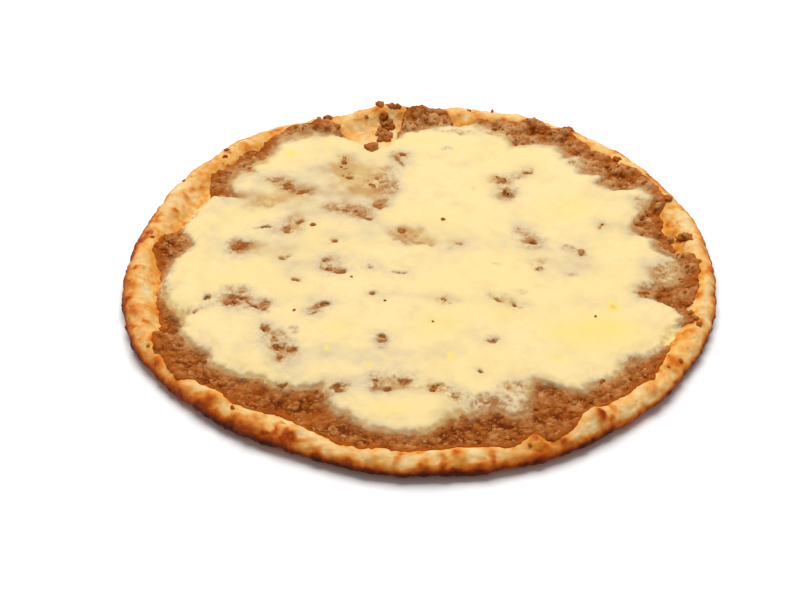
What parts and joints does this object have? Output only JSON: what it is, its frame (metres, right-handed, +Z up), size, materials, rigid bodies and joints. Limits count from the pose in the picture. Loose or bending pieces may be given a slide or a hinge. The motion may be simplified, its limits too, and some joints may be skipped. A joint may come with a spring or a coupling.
{
  "type": "sausage manakish",
  "caption": "Round baked flatbread with a raised, blistered rim, spread with minced sausage under a ragged sheet of melted white cheese.",
  "frame": {"origin": "middle of the flat base, on the surface that it rests on", "axes": "+Z up through the toppings; -Y is the side that is nearest in the picture"},
  "size_m": [0.2808, 0.2772, 0.0162],
  "materials": {
    "baked_dough": "dry baked crust, pale gold with toasted orange-brown patches and a dark brown lower edge",
    "cooked_mince": "crumbly grey-brown mince, slightly oily in the hollows",
    "melted_cheese": "satin cream cheese, thin and grey where the meat shows through it, with small yellow patches"
  },
  "bodies": {
    "root": {"flatbread": "baked_dough", "minced_sausage": "cooked_mince", "melted_cheese": "melted_cheese"}
  },
  "joints": []
}
